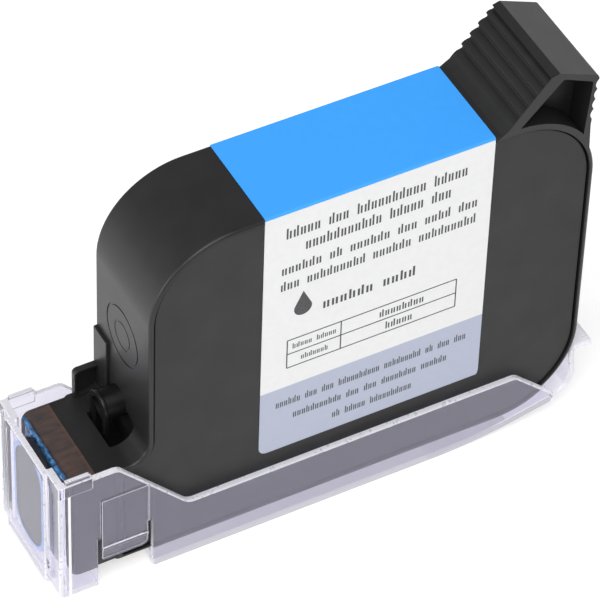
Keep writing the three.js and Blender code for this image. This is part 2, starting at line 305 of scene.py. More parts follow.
def settle(piece, name, body, materials, stands_for=(), crease=32):
    """Names the piece, smooths it, moves it to the row frame and hangs it on its body."""
    piece.name = name
    mesh = piece.data
    mesh.name = name
    mesh.transform(Matrix.Translation(ORIGIN) @ Matrix.Scale(MM, 4))
    if not mesh.materials:
        give(piece, materials)
    mesh.shade_smooth()
    mesh.set_sharp_from_angle(angle=math.radians(crease))
    weighted = piece.modifiers.new("weighted", "WEIGHTED_NORMAL")
    weighted.keep_sharp = True
    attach(piece, body)
    if stands_for:
        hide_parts(*stands_for)
    return piece


# ---- material helpers ----
def shader(name, colour, roughness, **sockets):
    """A Principled material; a socket's spaces are written as underscores."""
    material = bpy.data.materials.new(name)
    material.use_nodes = True
    inputs = material.node_tree.nodes["Principled BSDF"].inputs
    inputs["Base Color"].default_value = (*colour, 1)
    inputs["Roughness"].default_value = roughness
    for socket, value in sockets.items():
        inputs[socket.replace("_", " ")].default_value = value
    return material


def noise(material, size, detail=2, stretch=(1, 1, 1)):
    """A noise texture in the row frame whose blobs are about size millimetres across."""
    tree = material.node_tree
    place = tree.nodes.new("ShaderNodeTexCoord")
    scale = tree.nodes.new("ShaderNodeMapping")
    scale.inputs["Scale"].default_value = stretch
    texture = tree.nodes.new("ShaderNodeTexNoise")
    texture.inputs["Scale"].default_value = 1 / (size * MM)
    texture.inputs["Detail"].default_value = detail
    tree.links.new(place.outputs["Object"], scale.inputs["Vector"])
    tree.links.new(scale.outputs["Vector"], texture.inputs["Vector"])
    return texture.outputs["Fac"]


def grain(material, size, height, detail=2, stretch=(1, 1, 1)):
    """Moulded or rolled surface grain: a bump of a given height in millimetres."""
    tree = material.node_tree
    bump = tree.nodes.new("ShaderNodeBump")
    bump.inputs["Distance"].default_value = height * MM
    tree.links.new(noise(material, size, detail, stretch), bump.inputs["Height"])
    tree.links.new(bump.outputs["Normal"], tree.nodes["Principled BSDF"].inputs["Normal"])
    return material


def vary(material, socket, size, low, high, detail=3, stretch=(1, 1, 1)):
    """Lets a number socket wander between two values over blobs of a given size."""
    tree = material.node_tree
    spread = tree.nodes.new("ShaderNodeMapRange")
    spread.inputs["From Min"].default_value = 0.3
    spread.inputs["From Max"].default_value = 0.7
    spread.inputs["To Min"].default_value = low
    spread.inputs["To Max"].default_value = high
    tree.links.new(noise(material, size, detail, stretch), spread.inputs["Value"])
    tree.links.new(spread.outputs["Result"], tree.nodes["Principled BSDF"].inputs[socket])
    return material


def mottle(material, size, first, second, detail=3, stretch=(1, 1, 1)):
    """Lets the base colour wander between two colours."""
    tree = material.node_tree
    ramp = tree.nodes.new("ShaderNodeValToRGB")
    ramp.color_ramp.elements[0].position = 0.35
    ramp.color_ramp.elements[0].color = (*first, 1)
    ramp.color_ramp.elements[1].position = 0.65
    ramp.color_ramp.elements[1].color = (*second, 1)
    tree.links.new(noise(material, size, detail, stretch), ramp.inputs["Fac"])
    tree.links.new(ramp.outputs["Color"], tree.nodes["Principled BSDF"].inputs["Base Color"])
    return material


# ---- materials ----
def black_plastic():
    """The frame's black moulding, with the fine grain of a spark-eroded mould."""
    made = shader("black_plastic", (0.014, 0.014, 0.014), 0.38, Specular_IOR_Level=0.34)
    mottle(made, 6, (0.0125, 0.0125, 0.0125), (0.0155, 0.0155, 0.0155))
    vary(made, "Roughness", 3, 0.37, 0.4)
    return grain(made, 0.22, 0.004)


def pit_shade_black():
    """The same moulding round the fill port and in the pit, glossier, with a darker base colour that is
    painted shade for the deep pit and the boss in it.
    """
    made = shader("pit_shade_black", (0.006, 0.006, 0.006), 0.32, Specular_IOR_Level=0.26)
    vary(made, "Roughness", 1, 0.28, 0.38)
    return grain(made, 0.4, 0.004)


def side_plastic():
    """The side covers' moulding, a little greyer and more even."""
    made = shader("side_plastic", (0.016, 0.016, 0.016), 0.5, Specular_IOR_Level=0.32)
    mottle(made, 9, (0.015, 0.015, 0.015), (0.0175, 0.0175, 0.0175))
    vary(made, "Roughness", 5, 0.46, 0.54)
    return grain(made, 0.3, 0.004)


def natural_plastic():
    made = shader("natural_plastic", (0.72, 0.7, 0.63), 0.45, Subsurface_Weight=0.3, Subsurface_Scale=0.001)
    mottle(made, 4, (0.7, 0.68, 0.6), (0.76, 0.74, 0.67))
    return grain(made, 0.3, 0.006)


def ink_film():
    made = shader("ink_film", (0.55, 0.57, 0.62), 0.2, Metallic=0.55)
    vary(made, "Roughness", 2, 0.14, 0.3)
    return grain(made, 3, 0.12, stretch=(1, 1, 0.35))


def steel():
    made = shader("steel", (0.62, 0.63, 0.65), 0.28, Metallic=1.0)
    vary(made, "Roughness", 0.4, 0.2, 0.36, stretch=(0.06, 1, 1))
    return grain(made, 0.12, 0.003, stretch=(0.05, 1, 1))


def silicon():
    made = shader("silicon", (0.2, 0.21, 0.24), 0.22, Metallic=1.0)
    mottle(made, 1.5, (0.17, 0.18, 0.22), (0.24, 0.25, 0.28))
    return grain(made, 0.2, 0.001)


def gold():
    made = shader("gold", (0.83, 0.6, 0.22), 0.3, Metallic=1.0)
    vary(made, "Roughness", 0.5, 0.24, 0.38)
    return grain(made, 0.1, 0.002)


def epoxy():
    made = shader("epoxy", (0.012, 0.01, 0.008), 0.38, Specular_IOR_Level=0.35)
    mottle(made, 0.8, (0.01, 0.008, 0.007), (0.02, 0.016, 0.012))
    return grain(made, 0.9, 0.05)


def polyimide():
    """Brown flexible circuit, with the copper traces showing faintly through it."""
    made = shader("polyimide", (0.06, 0.036, 0.028), 0.38, Specular_IOR_Level=0.4)
    mottle(made, 0.9, (0.036, 0.033, 0.034), (0.086, 0.05, 0.04), detail=4, stretch=(0.25, 1, 1))
    return grain(made, 0.5, 0.012, stretch=(0.08, 1, 1))


def copper():
    made = shader("copper", (0.12, 0.055, 0.035), 0.45, Metallic=0.2)
    vary(made, "Roughness", 0.3, 0.3, 0.5)
    return made


def paper(name, colour, roughness=0.5):
    """Coated label paper."""
    made = shader(name, colour, roughness, Specular_IOR_Level=0.35)
    darker = tuple(0.975 * channel for channel in colour)
    mottle(made, 1.2, darker, colour, detail=4)
    return grain(made, 0.12, 0.0015)


def print_ink():
    made = shader("print_ink", (0.035, 0.035, 0.04), 0.45)
    mottle(made, 0.3, (0.03, 0.03, 0.034), (0.055, 0.055, 0.06))
    return made


def blue_tape():
    made = shader("blue_tape", (0.03, 0.12, 0.28), 0.25, Specular_IOR_Level=0.5)
    mottle(made, 0.7, (0.006, 0.03, 0.09), (0.08, 0.24, 0.48), detail=4)
    return grain(made, 0.8, 0.12, detail=3)


def clear_plastic():
    """Clear polystyrene with a faint lavender cast; the small diffuse share of its pale base colour is
    painted reflection, a haze standing in for the studio light that the walls reflect.
    """
    made = shader(
        "clear_plastic", (0.9, 0.88, 1.0), 0.0, IOR=1.5, Transmission_Weight=0.942,
        Specular_Tint=(0.78, 0.76, 1.0, 1),
    )
    vary(made, "Roughness", 3, 0.01, 0.035)
    return grain(made, 5, 0.012, detail=1)


def clear_edge_highlight():
    """The same plastic at its rounded and cut edges, which look white from the light caught along them; that
    brightness is painted highlight, a mostly diffuse pale colour.
    """
    made = shader("clear_edge_highlight", (0.86, 0.85, 0.91), 0.3, IOR=1.5, Transmission_Weight=0.35)
    return vary(made, "Roughness", 1, 0.25, 0.35)


def clear_foot():
    """The same plastic along the walls' foot bands, greyer through its thicker section."""
    made = shader("clear_foot", (0.6, 0.585, 0.66), 0.12, IOR=1.5, Transmission_Weight=0.8)
    return vary(made, "Roughness", 2, 0.08, 0.16)


def clear_panel():
    """The same plastic over the flat front panel, which reflects less; the small diffuse share of its pale
    base colour is painted reflection, as on the walls.
    """
    made = shader(
        "clear_panel", (0.9, 0.885, 1.0), 0.02, IOR=1.22, Transmission_Weight=0.975,
        Specular_Tint=(0.85, 0.84, 1.0, 1),
    )
    return vary(made, "Roughness", 3, 0.01, 0.03)


def clear_bead():
    """The same plastic in the narrow upright bead, which gathers light and looks white."""
    made = shader("clear_bead", (0.95, 0.945, 0.98), 0.35, IOR=1.5, Transmission_Weight=0.12)
    return vary(made, "Roughness", 2, 0.3, 0.4)


def clear_under():
    """The same plastic on its underside, where it lets the floor's light in."""
    made = shader("clear_under", (0.95, 0.94, 1.0), 0.1, IOR=1.04, Transmission_Weight=0.97)
    return vary(made, "Roughness", 3, 0.06, 0.14)


def seal_rubber():
    made = shader("seal_rubber", (0.014, 0.015, 0.022), 0.5, Specular_IOR_Level=0.2)
    mottle(made, 1.5, (0.011, 0.012, 0.018), (0.018, 0.02, 0.028))
    return grain(made, 0.8, 0.004)


def seal_lip():
    made = shader("seal_lip", (0.22, 0.42, 0.75), 0.4)
    mottle(made, 1.5, (0.15, 0.34, 0.66), (0.32, 0.52, 0.84))
    return grain(made, 0.4, 0.01)


BLACK = [black_plastic(), pit_shade_black()]
# the second black's darker colour is painted shade in the pit and on the port's boss
PIT_SHADE_SLOT = 1
SIDE = side_plastic()
CLEAR = [clear_plastic(), clear_edge_highlight(), clear_foot(), clear_panel(), clear_under(), clear_bead()]
# the edge slot's pale colour is painted highlight on the clear edges
EDGE_HIGHLIGHT, FOOT_BAND, PANEL, UNDERSIDE, BEAD = range(1, len(CLEAR))
BLUE_TAPE = blue_tape()
SEAL = [seal_rubber(), seal_lip()]
COPPER = copper()
GOLD = gold()
INK = print_ink()


# ---- outer frame ----
def body_outline(inset):
    """The side view of the body, drawn in by an inset, with square corners only where the snout joins it."""
    radius = CORNER - inset
    front = SNOUT_STEP + inset * SNOUT_RIM / RIM
    tight = 0.5
    return rounded([
        (front, BODY_FOOT + inset, tight), (BODY_LENGTH - inset, BODY_FOOT + inset, radius),
        (BODY_LENGTH - inset, BODY_TOP - inset, radius), (inset, BODY_TOP - inset, radius),
        (inset, SNOUT_TOP - inset, SNOUT_FILLET + inset), (front, SNOUT_TOP - inset, tight),
    ], steps=CORNER_STEPS)


def rim_profile():
    """(inset, half thickness) from the side cover's rebate, over the lip, to the wall's outer face."""
    edge = 0.6
    chamfer = 0.12
    turn = [
        (edge * (1 - math.sin(angle)), BODY_HALF - edge * (1 - math.cos(angle)))
        for angle in (math.radians(step * 15) for step in range(7))
    ]
    return [(RIM, REBATE_FLOOR), (RIM, BODY_HALF - chamfer), (RIM - chamfer, BODY_HALF), *turn]


def body_ring():
    """The ring between the side covers, with its rim's profile on both sides."""
    profile = rim_profile()
    near = [(inset, -half) for inset, half in profile]
    far = [(inset, half) for inset, half in reversed(profile)]
    return loft([[(x, y, z) for x, z in body_outline(inset)] for inset, y in near + far])


def snout():
    """The nose that carries the printhead, with its root inside the body."""
    nose = 1.4
    root = SNOUT_STEP + 1
    profile = rounded([
        (SNOUT_END, BODY_FOOT, nose), (root, BODY_FOOT), (root, SNOUT_TOP), (SNOUT_END, SNOUT_TOP, nose),
    ])
    return soften(prism(profile, -SNOUT_HALF, SNOUT_HALF), 0.3)


def scallops(start, end, marks, sag, skew=1):
    """Points along a line that dips in a scallop between each two marks, which are shares of its length.

    A skew over 1 moves the scallop's lowest point towards its end.
    """
    steps = 12
    along = end - start
    inward = Vector((along.y, -along.x)).normalized()
    points = []
    for left, right in zip(marks, marks[1:]):
        for step in range(steps):
            share = step / steps
            dip = sag * math.sin(math.pi * share ** skew)
            points.append(start + along * (left + (right - left) * share) + inward * dip)
    return points + [start + along * marks[-1]]


FRONT_MARKS = [*(0.085 + 0.193 * rib for rib in range(5)), 1]
FRONT_SAG = 0.72
FRONT_SKEW = 2.8
REAR_MARKS = [0.08, 0.28, 0.48, 0.68, 0.88]
REAR_SAG = 0.42


def grip_outline(ribbed):
    """The grip's side view, with or without the ribs on its front face."""
    proud = Vector((-0.04, 0.04))
    plain = [GRIP_FOOT + proud, GRIP_HEEL + proud, GRIP_BROW + proud]
    ribs = [GRIP_FOOT, GRIP_HEEL, *scallops(GRIP_HEEL, GRIP_BROW, FRONT_MARKS, FRONT_SAG, FRONT_SKEW)]
    front = ribs if ribbed else plain
    top = rounded([GRIP_BROW, (*GRIP_FRONT, 0.5), (*GRIP_REAR, 1.1), GRIP_WAIST])[1:-1]
    rear = scallops(GRIP_REAR, GRIP_WAIST, REAR_MARKS, REAR_SAG)
    foot = rounded([GRIP_REAR, (*GRIP_WAIST, 3), (BODY_LENGTH - 1.2, GRIP_BASE)])[1:]
    return front + top + rear + foot + [Vector((GRIP_FOOT.x, GRIP_BASE))]


def grip_pocket(y_low, y_high):
    """The hollow in the grip's side, with an even wall round it."""
    wall = 1.1
    start = GRIP_FOOT.x + 4.2
    foot = BODY_TOP - 9
    return prism(rounded([
        (start, BODY_TOP + 0.4, 0.3), (GRIP_FRONT.x + 0.9, GRIP_FRONT.y - 1.6, 0.5),
        (GRIP_REAR.x - wall, GRIP_REAR.y - 1, 0.5), (GRIP_WAIST.x - wall, GRIP_WAIST.y - 1),
        (GRIP_WAIST.x - wall, foot), (start, foot),
    ]), y_low, y_high)


def grip():
    """The ribbed grip, smooth along its near edge, with a pocket in each side and a web between them."""
    near_band = 0.12
    overlap = 0.05
    ribbed = prism(grip_outline(True), -GRIP_HALF + near_band, GRIP_HALF)
    band = prism(grip_outline(False), -GRIP_HALF, -GRIP_HALF + near_band + overlap)
    whole = join(ribbed, band)
    skin = 0.4
    front, back, top = -skin, BODY_LENGTH + skin, BODY_TOP + skin
    body_skin = rounded([
        (front, BODY_FOOT, CORNER), (back, BODY_FOOT, CORNER),
        (back, top, CORNER + skin), (front, top, CORNER + skin),
    ], steps=CORNER_STEPS)
    depth = 4.8
    web = 1.6
    spans = (
        (-BODY_HALF - REACH, -BODY_HALF + depth),
        (-BODY_HALF + depth + web, BODY_HALF + REACH),
    )
    pockets = [
        cut(grip_pocket(low, high), prism(body_skin, low - REACH, high + REACH))
        for low, high in spans
    ]
    rebate = body_outline(RIM - overlap)
    rebates = [
        prism(rebate, REBATE_FLOOR, BODY_HALF + REACH),
        prism(rebate, -BODY_HALF - REACH, -REBATE_FLOOR),
    ]
    return cut(whole, *pockets, *rebates)


def port_boss():
    """The fill port's round boss, and the collar whose legs stand in the pit."""
    def arch(radius, foot, low, high):
        y, z = PORT["y"], PORT["z"]
        top = [
            (y + radius * math.cos(angle), z + radius * math.sin(angle))
            for angle in (math.pi * step / 40 for step in range(41))
        ]
        return prism([(y - radius, foot), (y + radius, foot), *top], low, high, "X")

    edge = 0.12
    boss_back = 1.5
    outer = soften(arch(PORT["collar"], PIT["floor"] - 0.5, COLLAR_FRONT, COLLAR_BACK), edge, 2)
    hole = arch(PORT["bore"], PIT["floor"] - 1, COLLAR_FRONT - REACH, COLLAR_BACK + REACH)
    ring = cut(outer, hole)
    disc = circle((PORT["y"], PORT["z"]), PORT["boss"])
    boss = soften(prism(disc, COLLAR_BACK - 0.3, boss_back, "X"), edge, 2)
    return join(boss, ring)


def tab():
    """The locating tab on the snout's far corner, deeply dished on the face towards the label side."""
    front, back, near, top = TAB.values()
    foot = SNOUT_TOP - 1
    outline = rounded([(front, foot), (back, foot), (back, top), (front, top, 0.8)])
    plate = soften(prism(outline, near, SNOUT_HALF), 0.15, 2)
    rim = 0.4
    wall = 0.35
    dish_back = -0.4
    dish_foot = SNOUT_TOP + rim
    dish = rounded([
        (front + rim, dish_foot, 0.2), (dish_back, dish_foot, 0.2),
        (dish_back, top - rim, 0.2), (front + rim, top - rim, 0.6),
    ])
    return cut(plate, prism(dish, near - 0.8, SNOUT_HALF - wall))


def front_wall_marks():
    """Cutters for the two shallow rings and the small ejector mark on the body's front wall."""
    def groove(radius, width, depth):
        middle = (0, 40.5)
        outer = prism(circle(middle, radius, 64), -0.3, depth, "X")
        return cut(outer, prism(circle(middle, radius - width, 64), -0.4, depth + 0.1, "X"))

    ejector_mark = prism(circle((6.6, 54), 0.9, 24), -0.05, 0.08, "X")
    return [groove(5.5, 0.35, 0.12), groove(2.7, 0.3, 0.07), ejector_mark]


def outer_frame():
    """The frame, hollowed for the ink bag, with the ways and seats of the printhead in its snout."""
    shell = join(body_ring(), snout(), grip())
    front, back, radius = RING_WIDTH, BODY_LENGTH - RING_WIDTH, CORNER - RING_WIDTH
    foot, top = BODY_FOOT + RING_WIDTH, BODY_TOP - RING_WIDTH
    ink_outline = rounded([
        (front, foot, radius), (back, foot, radius), (back, top, radius), (front, top, radius),
    ])
    ink_space = prism(ink_outline, -BODY_HALF - REACH, BODY_HALF + REACH)
    pit = block(PIT["front"], PIT["back"], -PIT["half"], PIT["half"], PIT["floor"], PIT["top"])
    soften(pit, 0.25, 2)
    ink_channel = block(-11, RING_WIDTH + 2, -4, 4, 3, 14)
    die_slot = block(SNOUT_END - REACH, -10, -1.8, 1.8, 4, 13.5)
    die_seat = block(SNOUT_END - REACH, SNOUT_END + 1, -4.4, 4.4, 2.6, 17.2)
    label_seat = block(
        LABEL_START - GAP, GRIP_FOOT.x, -BODY_HALF - REACH, -SIDE_FACE, BODY_TOP - 2 * RIM, BODY_TOP + REACH,
    )
    cut(shell, ink_space, pit, ink_channel, die_slot, die_seat, label_seat)
    guide = block(GUIDE["front"], GUIDE["back"], GUIDE["near"], GUIDE["far"], SNOUT_TOP - 1, GUIDE["top"])
    soften(guide, 0.15, 2)
    join(shell, tab(), guide, port_boss())
    port = circle((PORT["y"], PORT["z"]), PORT["bore"])
    bore = prism(port, COLLAR_FRONT - REACH, RING_WIDTH + REACH, "X")
    cut(shell, bore, *front_wall_marks())
    return shade_port_and_pit(shell)


def shade_port_and_pit(shell):
    """Gives the port's boss and the pit the darker material, whose darker colour is painted shade."""
    give(shell, BLACK)
    margin = 0.1
    for face in shell.data.polygons:
        x, y, z = face.center
        off_axis = math.hypot(y - PORT["y"], z - PORT["z"])
        on_boss = COLLAR_FRONT - margin < x < -margin / 2 and off_axis < PORT["collar"] + margin
        in_pit = (
            PIT["front"] < x < PIT["back"] and abs(y) < PIT["half"]
            and PIT["floor"] - margin < z < SNOUT_TOP - margin
        )
        # painted shade: the boss and the pit take the darker black
        if on_boss or in_pit:
            face.material_index = PIT_SHADE_SLOT
    return shell


settle(outer_frame(), "frame_shell", "cartridge", BLACK, ["outer_frame"])


# ---- side covers ----
def side_outline(inset):
    """The side cover's outline, which follows the frame's rim at an inset."""
    radius = CORNER - inset
    front = SNOUT_STEP + SNOUT_RIM + GAP
    tight = 0.8
    return rounded([
        (front, BODY_FOOT + inset, tight), (BODY_LENGTH - inset, BODY_FOOT + inset, radius),
        (BODY_LENGTH - inset, BODY_TOP - inset, radius), (inset, BODY_TOP - inset, radius),
        (inset, SNOUT_TOP - inset, SNOUT_FILLET + inset), (front, SNOUT_TOP - inset, tight),
    ], steps=CORNER_STEPS)


def side_panel(side):
    """One of the body's two side covers."""
    return soften(prism(side_outline(RIM + GAP), *across(side, SIDE_FACE - SIDE_THICK, SIDE_FACE)), 0.16)


for side_name, side in SIDES:
    settle(
        side_panel(side), f"{side_name}_side_panel", "cartridge", [SIDE],
        [f"{side_name}_side_cover"],
    )


# ---- wrap label ----
LABEL_BEND = 0.4
BLUE_FOOT = 64.85
WHITE_FOOT = 25.9
LABEL_CORNER = 1.5


def label_path():
    """(y, z, end drawn in) down the label's outer face, from the far edge over the bend to the near foot."""
    angles = [math.radians(step * 90 / 8) for step in range(9)]
    quarter = [(1 - math.sin(angle), 1 - math.cos(angle)) for angle in angles]
    path = [(LABEL_FAR, LABEL_TOP, 0), (0, LABEL_TOP, 0)]
    path += [(-LABEL_FACE + LABEL_BEND * out, LABEL_TOP - LABEL_BEND * down, 0) for out, down in quarter]
    path += [(-LABEL_FACE, BLUE_FOOT, 0), (-LABEL_FACE, WHITE_FOOT, 0)]
    path += [(-LABEL_FACE, LABEL_FOOT + LABEL_CORNER * out, LABEL_CORNER * down) for out, down in quarter]
    return path


def label_sheet():
    """The label as a bent sheet: blue over the top, white down the near side and lavender at its foot."""
    path = label_path()
    columns = 24
    rows = []
    for y, z, drawn_in in path:
        low = LABEL_START + drawn_in
        high = LABEL_END - 0.25 * drawn_in
        rows.append([(low + (high - low) * column / columns, y, z) for column in range(columns + 1)])
    piece = give(sheet(rows), [
        paper("label_blue", (0.04, 0.335, 0.9), 0.42), paper("label_white", (0.755, 0.755, 0.76)),
        paper("label_lavender", (0.42, 0.45, 0.56)),
    ])
    colours = [int(z <= BLUE_FOOT + 0.001) + int(z <= WHITE_FOOT + 0.001) for _, z, _ in path[:-1]]
    for index, face in enumerate(piece.data.polygons):
        face.material_index = colours[index // columns]
    return thicken(piece, LABEL_THICK, 1)


settle(label_sheet(), "label_wrap", "cartridge", [], ["wrap_label"])


INK_LAYER = (-LABEL_FACE - 0.012, -LABEL_FACE + 0.02)  # a hair proud of the label


def ink_bar(x_low, x_high, z_low, z_high):
    return block(x_low, x_high, *INK_LAYER, z_low, z_high)


def print_line(z, start, end, height, words):
    """A line of placeholder print: each word is a run of small bars, two to a place, with no letters."""
    pitch = (end - start) / (sum(words) + len(words) - 1)
    foot = z - height / 2
    width = 0.26 * pitch
    low_share = 0.72
    bars = []
    place = start
    for word in words:
        for index in range(word):
            for stroke in (0.1, 0.54):
                full = (index * 3 + word + round(4 * stroke)) % 5 == 0
                tall = height * (1 if full else low_share)
                left = place + stroke * pitch
                bars.append(ink_bar(left, left + width, foot, foot + tall))
            place += pitch
        place += pitch
    return bars


def print_table():
    """The ruled table: three level rules and three upright ones."""
    left, split, right = 24.5, 34.2, 55.2
    levels = (36.4, 33.25, 30.15)
    rule = 0.11
    level_rules = [ink_bar(left, right, z - rule, z + rule) for z in levels]
    uprights = [ink_bar(x - rule, x + rule, levels[-1], levels[0]) for x in (left, split, right)]
    return level_rules + uprights


def print_drop():
    """A plain ink drop as the label's mark."""
    centre = Vector((27.1, 42.9))
    radius = 1.6
    outline = [centre + Vector((0, 2.3 * radius))]
    for step in range(33):
        angle = math.radians(390 - step * 240 / 32)
        outline.append(centre + Vector((radius * math.cos(angle), radius * math.sin(angle))))
    return prism(outline, *INK_LAYER)


# each line of print: its middle's height, its two ends, its letter height, and the places in each word
HEADING = [
    (60.5, 23.6, 56.0, 2.3, (5, 3, 10, 5)),
    (56.9, 27.1, 53.2, 2.3, (11, 5, 3)),
    (52.6, 23.0, 58.2, 2.0, (6, 2, 6, 3, 4, 3)),
    (49.1, 22.9, 58.1, 2.0, (3, 9, 6, 9)),
    (42.0, 30.6, 47.6, 2.1, (6, 4)),
]
TABLE_ENTRIES = [
    (34.8, 41.1, 49.4, 1.6, (8,)),
    (31.7, 42.3, 47.4, 1.6, (5,)),
    (34.8, 25.4, 33.4, 1.2, (5, 5)),
    (31.7, 27.0, 32.0, 1.2, (7,)),
]
FOOTING = [
    (22.3, 22.7, 57.8, 1.6, (6, 3, 3, 10, 9, 2, 3, 3)),
    (18.8, 25.9, 54.4, 1.6, (11, 3, 3, 8, 6)),
    (15.2, 33.2, 48.0, 1.6, (2, 5, 10)),
]


def label_print():
    """All of the label's placeholder print in one piece."""
    bars = [bar for line in HEADING + TABLE_ENTRIES + FOOTING for bar in print_line(*line)]
    return gather(bars + print_table() + [print_drop()])


settle(label_print(), "label_print", "cartridge", [INK])


# ---- flexible circuit's details ----
CIRCUIT_THICK = 0.18
GLUE = 0.05
METAL_PROUD = 0.02
METAL_SUNK = 0.05


def lead_comb():
    """The row of bare copper leads along the flap's edge on the snout's top."""
    level = SNOUT_TOP + GLUE + CIRCUIT_THICK
    half = 0.11
    return gather([
        block(-9.45, -9.05, y - half, y + half, level - METAL_SUNK, level + METAL_PROUD)
        for y in (-8 + 0.5 * index for index in range(33))
    ])


def contact_pads():
    """Gold contact pads on the circuit's underside."""
    level = BODY_FOOT - GLUE - CIRCUIT_THICK
    radius = 0.62
    return gather([
        prism(circle((x, y), radius, 20), level - METAL_PROUD, level + METAL_SUNK, "Z")
        for x in (-3, -0.8, 1.4, 3.6, 5.8, 8, 10.2, 12.4)
        for y in (-7.2, -5.2, -3.2, 3.2, 5.2, 7.2)
    ])


settle(lead_comb(), "circuit_lead_comb", "cartridge", [COPPER])
settle(contact_pads(), "circuit_contact_pads", "cartridge", [GOLD])


# ---- protective cover ----
def clear_soften(piece, width, segments=3):
    """Rounds a clear piece's edges, and gives the rounds the edge material with its painted highlight."""
    return soften(give(piece, CLEAR), width, segments, edge_slot=EDGE_HIGHLIGHT)


def all_in(piece, slot):
    """Gives the whole piece the material in one slot."""
    for face in piece.data.polygons:
        face.material_index = slot
    return piece


def finish_faces(cover):
    """Gives the rims and window edges the edge material with its painted highlight, and gives the undersides,
    foot and panel their own materials.
    """
    mostly, nearly = 0.8, 0.9
    for face in cover.data.polygons:
        place, facing = face.center, face.normal
        ahead, aside = abs(facing.x) > nearly, abs(facing.y) > nearly
        by_window = WINDOW["front"] - 0.15 < place.x < WINDOW["back"] + 0.15
        proud = abs(place.y) > COVER_HALF + 0.1
        if facing.z < -mostly:
            face.material_index = UNDERSIDE
        elif facing.z > 0.6 and place.z > 3:
            face.material_index = EDGE_HIGHLIGHT
        elif ahead and by_window and abs(place.y) > COVER_INNER:
            face.material_index = EDGE_HIGHLIGHT
        elif facing.z > mostly and place.z < -1 and place.x > 1:
            face.material_index = FOOT_BAND
        elif aside and proud and place.z < 12 and place.x > 0:
            face.material_index = FOOT_BAND
        elif ahead and place.x < COVER_FRONT + 0.3 and abs(place.y) < PANEL_HALF:
            face.material_index = PANEL
    return cover


def cover_walls():
    """The cover's side view made solid: the high nozzle box in front and the long low walls behind it."""
    outline = rounded([
        (COVER_FRONT, COVER_FOOT, 1), (RISE_START, COVER_FOOT, RISE_RADIUS), (76.3, 0.26, 1),
        (67.4, COVER_WALL_TOP, 2), (6.6, COVER_WALL_TOP, 2.5), (-5.9, COVER_SHOULDER, 2),
        (COVER_FRONT, COVER_SHOULDER, 1),
    ])
    return clear_soften(prism(outline, -COVER_HALF, COVER_HALF), 0.35)


def tongue():
    """The end wall that rises from the floor behind the body and turns out into the pull lip."""
    foot = COVER_FOOT + 0.3
    back = 79.7
    lip_foot = LIP_TOP - LIP_THICK
    path = rounded([
        (51, foot), (RISE_START, foot, RISE_RADIUS), (back, 1.29, 4.5), (back, lip_foot, 0.6),
        (82.9, lip_foot),
    ])
    path = path[:-1] + [Vector((81, lip_foot)), path[-1]]
    leaf = 0.55
    round_off = 0.35
    corner = 0.1
    loops = []
    for index, point in enumerate(path):
        behind = path[max(index - 1, 0)]
        ahead = path[min(index + 1, len(path) - 1)]
        along = (ahead - behind).normalized()
        thick = leaf + leaf * min(max((point.y + 1) / 3, 0), 1)
        inward = Vector((-along.y, along.x)) * thick
        half = 10.6 - 0.22 * max(point.y, 0)
        far_edge = [
            (0, half - round_off), (0.1, half - corner), (0.32, half),
            (0.68, half), (0.9, half - corner), (1, half - round_off),
        ]
        near_edge = [(share, -y) for share, y in reversed(far_edge)]
        section = [near_edge[-1], *far_edge, *near_edge[:-1]]
        loops.append([(point.x + inward.x * share, y, point.y + inward.y * share) for share, y in section])
    plate = give(loft(loops), CLEAR)
    # the tongue's side faces take the edge material, a painted highlight
    for face in plate.data.polygons:
        face.material_index = EDGE_HIGHLIGHT if abs(face.normal.y) > 0.3 else 0
    return plate


def front_panel():
    """The nozzle box's raised front panel, with the seal behind it."""
    top = COVER_TOP - 0.03
    outline = rounded([
        (PANEL_FRONT, -2.4, 0.8), (PANEL_BACK, -2.4), (PANEL_BACK, top), (PANEL_FRONT, top, 0.5),
    ])
    return clear_soften(prism(outline, -PANEL_HALF, PANEL_HALF), 0.35)


def box_band():
    """The slightly proud band round the nozzle box's top."""
    half = COVER_HALF + BAND_PROUD
    return clear_soften(block(COVER_FRONT - BAND_PROUD, -10.5, -half, half, 20.6, COVER_TOP), 0.2)


def foot_bands():
    """The slightly proud band along each wall's foot, behind the finger."""
    front = 0.3
    low = COVER_FOOT + 0.03
    high = low + 1.35
    outline = rounded([
        (front, low), (RISE_START, low, RISE_RADIUS), (74.9, -0.02, 0.5), (74.2, 1.22, 0.4),
        (RISE_START, high, RISE_RADIUS), (front, high),
    ])
    return [
        clear_soften(prism(outline, *across(side, COVER_HALF - BAND_ROOT, COVER_HALF + BAND_PROUD)), 0.1, 2)
        for _, side in SIDES
    ]


def box_ribs(side):
    """The raised lip, the upright bead and the thick front corner on one side of the nozzle box."""
    def rib(x_low, x_high, inner, outer, z_low, z_high):
        return clear_soften(block(x_low, x_high, *across(side, inner, outer), z_low, z_high), 0.06, 2)

    top = 20.95
    skin = 0.06
    lip = rib(-15.2, -11, 9.9, 10.6, 23, 24)
    bead = rib(-14.95, -14.5, COVER_HALF - BAND_ROOT, COVER_HALF + BAND_PROUD, -2.9, top)
    corner = rib(COVER_FRONT - skin, -15.95, COVER_HALF - 0.4, COVER_HALF + skin, -2.5, top)
    # the thick corner takes the edge material all over, a painted highlight
    return [lip, all_in(bead, BEAD), all_in(corner, EDGE_HIGHLIGHT)]


def floor_pan():
    """The space over the cover's thin floor, which curves up to the end wall."""
    front = 16.2
    back = 78.7
    rise = 0.218 * (back - RISE_START)
    return prism(rounded([
        (front, COVER_FLOOR), (RISE_START, COVER_FLOOR, RISE_RADIUS - 1), (back, COVER_FLOOR + rise, 3.5),
        (back, ABOVE), (front, ABOVE),
    ]), -COVER_INNER, COVER_INNER)


def rest_rails():
    """Two low rails on the floor that the body rests on."""
    return [
        soften(block(20, 60, *across(side, 4.4, 5.4), COVER_FOOT + 0.4, REST_LEVEL), 0.15, 2)
        for _, side in SIDES
    ]


